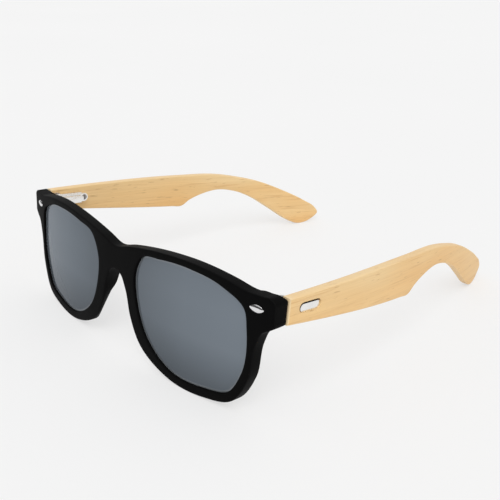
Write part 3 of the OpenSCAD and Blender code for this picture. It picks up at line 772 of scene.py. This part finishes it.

# %% [markdown]
# ## Finish of the temples: pale bamboo
# Bamboo board is pressed from strips: it shows long fine fibres, short dark flecks and slow changes of tone.
# The fibres follow the board, which is bent, so the pattern reads the board's own flat coordinates.
# They are kept on the mesh as the attribute grain: along the board, through its thickness and up its height.
# The slot's upper and front walls, which lie in shade, get a dark colour: partly scorch from the cutter,
# partly painted shade. An attribute marks them.
# The sanded edges are paler, partly by a painted sheen, and a painted highlight lies on the cut front end,
# both marked by an attribute.

# %% Bamboo
bamboo = Finish("pale_bamboo", Roughness=0.5, Specular_IOR_Level=0.35, Coat_Weight=0.08, Coat_Roughness=0.35)
FIBRE, STRIP, TONE = (12, 1100, 1100), (5, 300, 300), (14, 30, 60)
FLECK, STREAK = (115, 1000, 1000), (40, 900, 900)
SOFT_STEP, UNTINTED = [(0.35, 0.0), (0.65, 1.0)], (1.0, 1.0, 1.0, 1)
fibres = bamboo.spots(FIBRE, "grain", Scale=2.2, Detail=4, Roughness=0.6)
strips = bamboo.spots(STRIP, "grain", Scale=1.4, Detail=2)
tones = bamboo.spots(TONE, "grain", Scale=1, Detail=2)
flecks = bamboo.spots(FLECK, "grain", Scale=1.6, Detail=1)
warm = bamboo.ramp(
    tones, [(0.3, (0.87, 0.54, 0.225)), (0.5, (0.89, 0.605, 0.285)), (0.7, (0.90, 0.665, 0.355))])
fine = bamboo.mixed(bamboo.ramp(fibres, SOFT_STEP), (0.94, 0.925, 0.9, 1), UNTINTED)
wide = bamboo.mixed(bamboo.ramp(strips, SOFT_STEP), (0.965, 0.95, 0.93, 1), UNTINTED)
toned = bamboo.mixed(1.0, bamboo.mixed(1.0, warm, fine, "MULTIPLY"), wide, "MULTIPLY")
flecked = bamboo.mixed(bamboo.ramp(flecks, [(0.67, 0.0), (0.74, 0.7)]), toned, (0.56, 0.33, 0.14, 1))
streaks = bamboo.spots(STREAK, "grain", Scale=1.3, Detail=2, Roughness=0.5)
streaked = bamboo.mixed(bamboo.ramp(streaks, [(0.58, 0.0), (0.7, 0.5)]), flecked, (0.66, 0.38, 0.15, 1))
# Painted shade in the slot, in a dark scorched colour.
scorched_and_shaded = bamboo.mixed(bamboo.attribute("scorch_and_shade"), streaked, (0.05, 0.026, 0.012, 1))
bamboo.to_shader(
    Base_Color=bamboo.mixed(bamboo.attribute("edge"), scorched_and_shaded, (0.89, 0.68, 0.4, 1)),
    Roughness=bamboo.ramp(fibres, [(0.3, 0.42), (0.7, 0.58)]),
    Normal=bamboo.bump(fibres, 0.00003, 0.35),
)
print("finish:", bamboo.material.name)

# %% [markdown]
# ## The temples
# A temple is a board cut to its outline, with a step before the ear and a tip that curves down.
# It is bent inwards, and a slot goes through it for the spring box of its hinge.
# It is made as a board like the front, bent round its own radius, with edges sanded round.

# %% Temple sizes and outline
TEMPLE_T, BEND_R, TEMPLE_LEN, TEMPLE_FRONT_H = 3.4, 500, 144.5, 8.6
BOARD_H, BOARD_TOP, STEP_Y = 14.7, 5.5, 65
EAR_H, EAR_TOP, EAR_Y, TIP_DROP = 7.4, 5, 85, 23
KNUCKLE_R, KNUCKLE_GAP, JOINT_GAP = 1.6, 0.1, 0.2
temple_end = JOINT_GAP - SEAT_Y
wood_x = KNUCKLE_R + KNUCKLE_GAP
outer_x = TEMPLE_T + wood_x
board_low, ear_low = BOARD_TOP - BOARD_H, EAR_TOP - EAR_H
arch, rise = EAR_Y - STEP_Y, ear_low - board_low
tail, drop = TEMPLE_LEN - EAR_Y, EAR_TOP + TIP_DROP
TAIL = [
    (0.21, 0.07), (0.38, 0.15), (0.63, 0.34), (0.86, 0.56), (0.965, 0.69), (1, 0.79), (0.94, 0.925),
    (0.81, 1), (0.695, 0.905), (0.605, 0.79), (0.51, 0.665), (0.31, 0.425), (0.147, 0.305),
]
temple_points = [
    (temple_end, TEMPLE_FRONT_H / 2),
    (STEP_Y * 0.32, TEMPLE_FRONT_H / 4 + BOARD_TOP / 2),
    (STEP_Y * 0.97, BOARD_TOP),
    (EAR_Y, EAR_TOP),
    *[(EAR_Y + a * tail, EAR_TOP - b * drop) for a, b in TAIL],
    (EAR_Y, ear_low),
    (STEP_Y + arch * 0.56, ear_low - rise * 0.23),
    (STEP_Y + arch * 0.22, ear_low - rise * 0.61),
    (STEP_Y, board_low),
    (STEP_Y * 0.92, board_low + rise * 0.03),
    (temple_end, -TEMPLE_FRONT_H / 2),
]
TEMPLE_STEPS, END_POINTS = 10, 9
front_edge = np.linspace(-1, 1, END_POINTS)[1:-1, None] * TEMPLE_FRONT_H / 2
temple_loop = np.vstack([
    open_curve(temple_points, TEMPLE_STEPS),
    np.column_stack([np.full(END_POINTS - 2, temple_end), front_edge]),
])
print("temple outline of", len(temple_loop), "points")


def even(loop, spacing):
    """The same loop with points at an even spacing, its corners kept within half a step."""
    closed = np.vstack([loop, loop[:1]])
    length = np.concatenate([[0], np.cumsum(np.linalg.norm(np.diff(closed, axis=0), axis=1))])
    at = np.linspace(0, length[-1], int(length[-1] / spacing), endpoint=False)
    return np.stack([np.interp(at, length, closed[:, k]) for k in (0, 1)], 1)


# %% The temples' meshes
BOX_START, BOX_L, BOX_H, SLOT_GAP = 3.6, 8.7, 2.7, 0.03
SLOT_ABOVE, SLOT_BEFORE, SLOT_SPACING = 0.7, 0.9, 0.4
WOOD_R, SLOT_R, SLOT_EDGE_STEPS, TEMPLE_GRID = 0.5, 0.05, 3, 2.2
# Paler sanded edges with a painted sheen, and a painted highlight on the lit front end.
EDGE_PALE_AND_SHEEN, END_HIGHLIGHT = 0.35, 1.0
SHADED_WALLS_WAY, GRAIN_APART = (-0.7, 0.7), 40
PILL_STEPS = 12


def pill(start, end, r, middle):
    """The outline of a pill between two places along the board, clockwise."""
    turn = np.linspace(-math.pi / 2, math.pi / 2, PILL_STEPS)
    far_end = np.stack([end - r + r * np.cos(turn), middle - r * np.sin(turn)], 1)
    near_end = np.stack([start + r - r * np.cos(turn), middle + r * np.sin(turn)], 1)
    return np.vstack([far_end, near_end])


slot_rise = SLOT_ABOVE + SLOT_GAP
box_end = BOX_START + BOX_L
pills = np.vstack([
    pill(BOX_START - SLOT_GAP, box_end + SLOT_GAP, BOX_H / 2 + SLOT_GAP, 0),
    pill(BOX_START - SLOT_BEFORE, box_end, (BOX_H + slot_rise) / 2, slot_rise / 2),
])
around = convex_hull_2d([Vector(p) for p in pills])
slot = even(pills[around[::-1]], SLOT_SPACING)
# Painted shade: the dark scorch colour goes only on the slot's upper and front walls, which lie in shade.
scorch_and_shade_share = np.clip(0.5 + way_out(slot) @ SHADED_WALLS_WAY, 0, 1)


def temple_place(side):
    """The bend of a temple, and its place at its hinge."""
    def place(s, h, depth):
        x = outer_x - BEND_R + np.sqrt((BEND_R - depth) ** 2 - s**2)
        return hinge_point(side, x, s, h)
    return place


for name, side in SIDES.items():
    rings = edge_rings(WOOD_R, WOOD_R)
    slot_rings = edge_rings(SLOT_R, SLOT_R, SLOT_EDGE_STEPS)
    temple, flat = board(
        "temple_board_" + name, [(temple_loop, -1, rings), (slot, 1, slot_rings)],
        temple_place(side), TEMPLE_GRID, same_depth(TEMPLE_T),
    )
    carry(temple, "grain", (flat[:, [0, 2, 1]] + (0, side * GRAIN_APART, 0)) * MM)
    edge_share = np.zeros(len(flat))
    rounded = slice(len(temple_loop), len(temple_loop) * (len(rings) - 1))
    # Painted highlight on the front end's rounding; paler, partly painted sheen, on the other rounded edges.
    edge_share[rounded] = np.where(flat[rounded, 0] < temple_end + WOOD_R, END_HIGHLIGHT, EDGE_PALE_AND_SHEEN)
    carry(temple, "edge", edge_share)
    scorch_and_shade = np.zeros(len(flat))
    slot_first = len(temple_loop) * len(rings)
    wall = slice(slot_first + len(slot), slot_first + len(slot) * (len(slot_rings) - 1))
    # Painted shade in a scorched colour on the slot's upper and front walls.
    scorch_and_shade[wall] = np.tile(scorch_and_shade_share, len(slot_rings) - 2)
    carry(temple, "scorch_and_shade", scorch_and_shade)
    temple.data.materials.append(bamboo.material)
    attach(temple, name + "_temple")
    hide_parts("temple_" + name)
    print(temple.name, len(temple.data.polygons), "faces")

# %% [markdown]
# ## Finish of the hinges: satin steel
# Hinge pieces are tumbled and plated, so they are bright but softly blurred, with fine marks.
# A stretched noise gives the marks, and a wider one dulls some areas.

# %% Satin steel
satin = Finish("satin_steel", Metallic=1.0, Roughness=0.28)
marks = satin.spots((1, 0.2, 1), Scale=5000, Detail=2)
dull = satin.spots(Scale=420, Detail=2)
satin.to_shader(
    Base_Color=satin.ramp(dull, [(0.3, (0.84, 0.835, 0.82)), (0.7, (0.92, 0.915, 0.905))]),
    Roughness=satin.ramp(dull, [(0.3, 0.2), (0.75, 0.36)]),
    Normal=satin.bump(marks, 0.000001, 0.15),
)
print("finish:", satin.material.name)

# %% [markdown]
# ## Finish of the screws: darker steel
# The screws have no bright plating, so they are darker than the plates that they hold.
# One noise, as fine as the traces of turning, changes their tone and roughness.

# %% Dark steel
dark_steel = Finish("dark_steel", Metallic=1.0, Roughness=0.35)
turning = dark_steel.spots(Scale=900, Detail=3)
dark_steel.to_shader(
    Base_Color=dark_steel.ramp(turning, [(0.3, (0.26, 0.25, 0.24)), (0.7, (0.36, 0.35, 0.34))]),
    Roughness=dark_steel.ramp(turning, [(0.3, 0.28), (0.75, 0.45)]),
)
print("finish:", dark_steel.material.name)

# %% [markdown]
# ## The hinges' metal pieces
# Leaves, screws, sliders, stops and housings are small turned and stamped parts.
# Their solids have the right shape, but a solid's edges are perfectly sharp and catch no light.
# So each piece is a copy of its node with its triangles joined into faces and a fine bevel on its edges.

# %% Metal pieces
BREAK_EDGE, BREAK_SEGMENTS, SAME_POINT = 0.05 * MM, 2, 0.002 * MM
FLAT_WITHIN, BREAK_FROM, SHARP_FROM = (math.radians(a) for a in (1, 40, 30))
METAL_NODES = ("front_hinge", "pivot_screw", "hinge_slider", "slider_stop", "hinge_housing", "housing_screw")


def edge_broken(node, name, finish):
    """A copy of a CAD node with joined faces and bevelled edges."""
    source = frame["nodes"][node]
    mesh = source.data.copy()
    mesh.name = name
    shaped = bmesh.new()
    shaped.from_mesh(mesh)
    bmesh.ops.remove_doubles(shaped, verts=shaped.verts, dist=SAME_POINT)
    bmesh.ops.dissolve_limit(shaped, angle_limit=FLAT_WITHIN, verts=shaped.verts, edges=shaped.edges)
    shaped.to_mesh(mesh)
    shaped.free()
    mesh.materials.clear()
    mesh.materials.append(finish.material)
    piece = in_scene(name, mesh)
    bevel = piece.modifiers.new("broken_edges", "BEVEL")
    bevel.width = BREAK_EDGE
    bevel.segments = BREAK_SEGMENTS
    bevel.limit_method = "ANGLE"
    bevel.angle_limit = BREAK_FROM
    ready = piece.evaluated_get(bpy.context.evaluated_depsgraph_get())
    piece.data = bpy.data.meshes.new_from_object(ready)
    piece.modifiers.clear()
    piece.data.shade_smooth()
    piece.data.set_sharp_from_angle(angle=SHARP_FROM)
    return piece


for node, cad_node in frame["nodes"].items():
    kind = node.rsplit("_", 1)[0]
    if kind in METAL_NODES:
        metal = edge_broken(node, "metal_" + node, dark_steel if kind.endswith("screw") else satin)
        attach(metal, cad_node["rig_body"])
        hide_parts(node)
print("metal pieces:", 2 * len(METAL_NODES))

# %% [markdown]
# ## The springs
# Inside each housing a coil spring pulls the temple against its hinge.
# A spring follows a rule, a wire wound on a helix, so a Geometry Nodes tree sweeps a circle along a spiral.
# The spring shortens when its temple is pulled out; here it is made at its rest length.

# %% Spring tree
COIL_STEPS, WIRE_SIDES = 20, 10
tree, given, result = tree_with(
    "wound_spring", ("Turns", "NodeSocketFloat"), ("Coil radius", "NodeSocketFloat"),
    ("Length", "NodeSocketFloat"), ("Wire radius", "NodeSocketFloat"), ("Turn", "NodeSocketVector"),
    ("Place", "NodeSocketVector"), ("Finish", "NodeSocketMaterial"),
)
spiral = tree.nodes.new("GeometryNodeCurveSpiral")
spiral.inputs["Resolution"].default_value = COIL_STEPS
wire = tree.nodes.new("GeometryNodeCurvePrimitiveCircle")
wire.inputs["Resolution"].default_value = WIRE_SIDES
sweep = tree.nodes.new("GeometryNodeCurveToMesh")
sweep.inputs["Fill Caps"].default_value = True
settle = tree.nodes.new("GeometryNodeTransform")
realize = tree.nodes.new("GeometryNodeRealizeInstances")
dress = tree.nodes.new("GeometryNodeSetMaterial")
for source, target in (
    (given.outputs["Turns"], spiral.inputs["Rotations"]),
    (given.outputs["Coil radius"], spiral.inputs["Start Radius"]),
    (given.outputs["Coil radius"], spiral.inputs["End Radius"]),
    (given.outputs["Length"], spiral.inputs["Height"]),
    (given.outputs["Wire radius"], wire.inputs["Radius"]),
    (spiral.outputs["Curve"], sweep.inputs["Curve"]),
    (wire.outputs["Curve"], sweep.inputs["Profile Curve"]),
    (sweep.outputs["Mesh"], settle.inputs["Geometry"]),
    (given.outputs["Turn"], settle.inputs["Rotation"]),
    (given.outputs["Place"], settle.inputs["Translation"]),
    (settle.outputs["Geometry"], realize.inputs["Geometry"]),
    (realize.outputs["Geometry"], dress.inputs["Geometry"]),
    (given.outputs["Finish"], dress.inputs["Material"]),
    (dress.outputs["Geometry"], result.inputs["Geometry"]),
):
    tree.links.new(source, target)

# %% Springs in their housings
ROD_X, SPRING_Y, SPRING_L, SPRING_TURNS, COIL_R, WIRE_R = 0.5, 5.2, 4.4, 5.0, 0.79, 0.17
SPRING_GAP, SPRING_PULL = 0.02, 1.2
spring_end = SPRING_GAP + WIRE_R
for name, side in SIDES.items():
    carrier = in_scene("spring_carrier", bpy.data.meshes.new("spring_carrier"))
    foot = hinge_point(side, ROD_X, SPRING_Y + spring_end, 0.0) * MM
    spring = grown_mesh(carrier, tree, "spring_" + name, {
        "Turns": SPRING_TURNS, "Coil radius": COIL_R * MM, "Length": (SPRING_L - 2 * spring_end) * MM,
        "Wire radius": WIRE_R * MM, "Turn": (-math.pi / 2 - temple_slope, 0.0, 0.0), "Place": tuple(foot),
        "Finish": satin.material,
    })
    spring.data.shade_smooth()
    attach(spring, name + "_temple")
    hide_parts("hinge_spring_" + name)
    shoulder = hinge_point(side, ROD_X, SPRING_Y, 0.0) * MM
    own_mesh(spring)
    print(spring.name, len(spring.data.polygons), "faces")

# %% [markdown]
# ## Floor and light
# The photograph has a pale seamless floor and soft light from all sides, with faint shadows under the rims.
# A wide plane, a white surround and one broad lamp from the front right give that.
# The surround is darker low down at the front left, the open side of the studio, which polished metal needs.
# Together they light a surface to about 1, so each colour renders about as it is written.
# The floor glows where it is seen, so that its shadows stay as faint as in the photograph.

# %% Floor
FLOOR_SIZE, FLOOR_DROP, FLOOR_LIFT = 6.0, 0.00005, 0.65
floor_mesh = bpy.data.meshes.new("floor")
half = FLOOR_SIZE / 2
corners = [(-half, -half, 0), (half, -half, 0), (half, half, 0), (-half, half, 0)]
floor_mesh.from_pydata(corners, [], [(0, 1, 2, 3)])
floor = in_scene("floor", floor_mesh)
floor.location.z = -FLOOR_DROP
paper = Finish("pale_paper", Roughness=0.9, Specular_IOR_Level=0.1)
paper_tone = paper.ramp(paper.spots(Scale=3, Detail=2), [(0.3, (0.9, 0.9, 0.9)), (0.7, (0.92, 0.92, 0.92))])
paper.to_shader(Base_Color=paper_tone)
rays = paper.node("ShaderNodeLightPath").outputs
seen = rays["Is Camera Ray"]
for mirrored in (rays["Is Glossy Ray"], rays["Is Transmission Ray"]):
    seen = paper.node("ShaderNodeMath", {0: seen, 1: mirrored}, operation="MAXIMUM").outputs[0]
lifted = paper.node("ShaderNodeMath", {0: seen}, operation="MULTIPLY")
lifted.inputs[1].default_value = FLOOR_LIFT
glow = paper.node("ShaderNodeEmission", Color=(0.92, 0.92, 0.92, 1), Strength=1.0)
both = paper.node(
    "ShaderNodeMixShader", {0: lifted.outputs[0], 1: paper.shader.outputs[0], 2: glow.outputs[0]})
paper.tree.links.new(both.outputs[0], paper.tree.nodes["Material Output"].inputs["Surface"])
floor_mesh.materials.append(paper.material)
print("floor", FLOOR_SIZE, "m wide")

# %% Light
SURROUND, LAMP, LAMP_ANGLE = 0.8, 1.0, math.radians(35)
LAMP_FROM = Vector((0.42, -0.5, 0.76))
ROOM_SIDE, ROOM_GREY = (-0.39, -0.92, 0.0), 0.1
BESIDE, BELOW = (0.35, 0.7), (0.38, 0.52)
world = bpy.data.worlds.new("studio")
bpy.context.scene.world = world
world.use_nodes = True
room = world.node_tree
surround = room.nodes["Background"]
surround.inputs["Strength"].default_value = SURROUND
way = room.nodes.new("ShaderNodeTexCoord").outputs["Generated"]
facing = room.nodes.new("ShaderNodeVectorMath")
facing.operation = "DOT_PRODUCT"
facing.inputs[1].default_value = ROOM_SIDE
up = room.nodes.new("ShaderNodeSeparateXYZ")
beside = room.nodes.new("ShaderNodeMapRange")
below = room.nodes.new("ShaderNodeMapRange")
for ramp, values in ((beside, (*BESIDE, 0, 1)), (below, (*BELOW, 1, 0))):
    ramp.interpolation_type = "SMOOTHSTEP"
    for socket, value in zip(("From Min", "From Max", "To Min", "To Max"), values):
        ramp.inputs[socket].default_value = value
dark = room.nodes.new("ShaderNodeMath")
dark.operation = "MULTIPLY"
unlit = room.nodes.new("ShaderNodeMix")
unlit.data_type = "RGBA"
unlit.inputs[6].default_value = (1, 1, 1, 1)
unlit.inputs[7].default_value = (ROOM_GREY, ROOM_GREY, ROOM_GREY, 1)
for source, target in (
    (way, facing.inputs[0]),
    (way, up.inputs[0]),
    (facing.outputs["Value"], beside.inputs["Value"]),
    (up.outputs["Z"], below.inputs["Value"]),
    (beside.outputs[0], dark.inputs[0]),
    (below.outputs[0], dark.inputs[1]),
    (dark.outputs[0], unlit.inputs[0]),
    (unlit.outputs[2], surround.inputs["Color"]),
):
    room.links.new(source, target)
lamp = bpy.data.lights.new("broad_lamp", "SUN")
lamp.energy = LAMP
lamp.angle = LAMP_ANGLE
lamp_holder = in_scene("broad_lamp", lamp)
lamp_holder.rotation_euler = LAMP_FROM.to_track_quat("Z", "Y").to_euler()
bpy.context.scene.view_settings.view_transform = "Standard"
print("lamp from", tuple(LAMP_FROM), "surround", SURROUND)

# %% [markdown]
# ## Camera
# The camera stands to the right of the front and above it, where the photograph was taken.
# Its place was found by laying the solid model's outlines over the photograph's.

# %% Camera
TARGET = Vector((0.814, -14.518, 22.178)) * MM
AZIMUTH, ELEVATION, ROLL = (math.radians(a) for a in (47.475, 21.982, 0.329))
DISTANCE = 306.45 * MM
FOCAL_PIXELS, IMAGE_PIXELS, SENSOR, CLIP_START = 751.4, 500, 36.0, 0.01
away = Vector((
    math.sin(AZIMUTH) * math.cos(ELEVATION), -math.cos(AZIMUTH) * math.cos(ELEVATION), math.sin(ELEVATION)))
camera_data = bpy.data.cameras.new("camera")
camera_data.sensor_width = SENSOR
camera_data.lens = FOCAL_PIXELS / IMAGE_PIXELS * SENSOR
camera_data.clip_start = CLIP_START
camera = in_scene("camera", camera_data)
camera.location = TARGET + DISTANCE * away
upright = (-away).to_track_quat("-Z", "Y").to_matrix()
camera.rotation_euler = (upright @ Matrix.Rotation(ROLL, 3, "Z")).to_euler()
bpy.context.scene.camera = camera
print("camera at", [round(c, 4) for c in camera.location])
